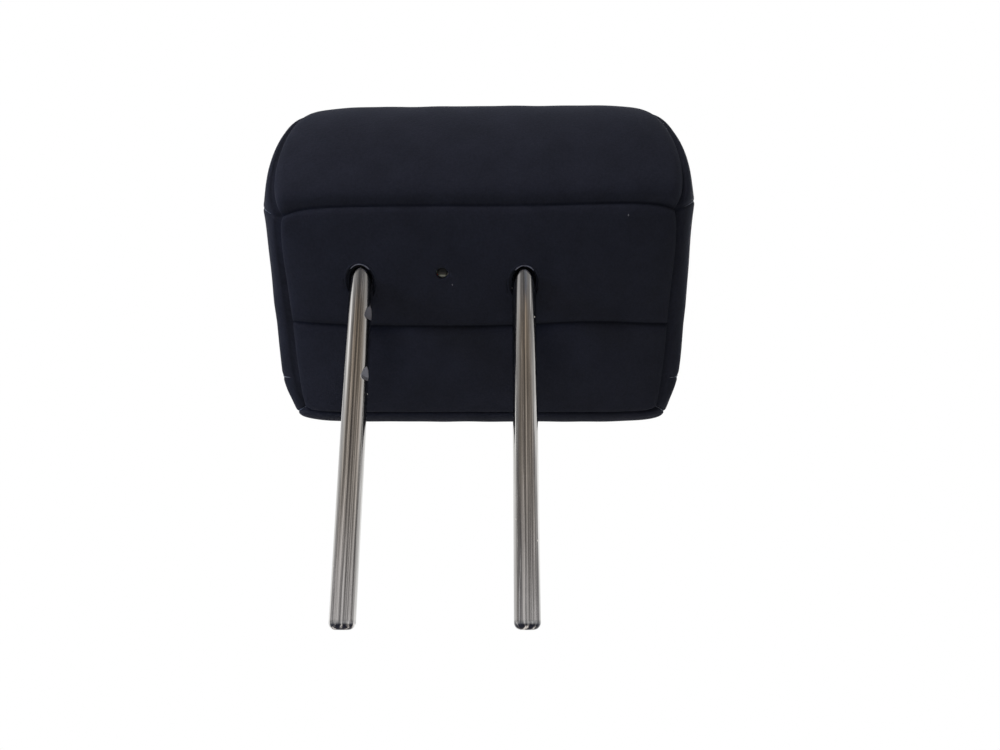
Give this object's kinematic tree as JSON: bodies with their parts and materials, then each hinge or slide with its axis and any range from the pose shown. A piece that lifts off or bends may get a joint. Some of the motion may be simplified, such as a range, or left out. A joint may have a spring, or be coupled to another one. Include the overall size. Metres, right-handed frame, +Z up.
{
  "type": "car headrest",
  "caption": "Rear-seat head restraint: a cloth-covered foam pad with a sloped underside, carried off-centre on chromed tube posts with locking notches.",
  "frame": {"origin": "midway between the flat lower ends of the two posts", "axes": "+Z up along the posts, +Y towards the head, -Y to the rear of the car, +X to the right seen from the rear"},
  "size_m": [0.2578, 0.1303, 0.3187],
  "materials": {
    "chromed_tube": "bright chrome plate on drawn steel tube, lightly scratched",
    "plate_steel": "bare pressed sheet steel",
    "foam": "moulded open-cell foam",
    "seal_rubber": "matt black soft rubber",
    "plug_plastic": "matt moulded plastic",
    "cover_cloth": "blue-black knitted cloth on a foam backing"
  },
  "bodies": {
    "root": {"post_frame": "chromed_tube", "support_plate": "plate_steel", "foam_pad": "foam", "post_seal_left": "seal_rubber", "post_seal_right": "seal_rubber", "fill_plug": "plug_plastic", "cover_upper_rear": "cover_cloth", "cover_rear_slope": "cover_cloth", "cover_lower_slope": "cover_cloth", "cover_front": "cover_cloth", "cover_band_top": "cover_cloth", "cover_band_side_left": "cover_cloth", "cover_band_side_right": "cover_cloth", "cover_band_corner_left": "cover_cloth", "cover_band_corner_right": "cover_cloth"}
  },
  "joints": []
}
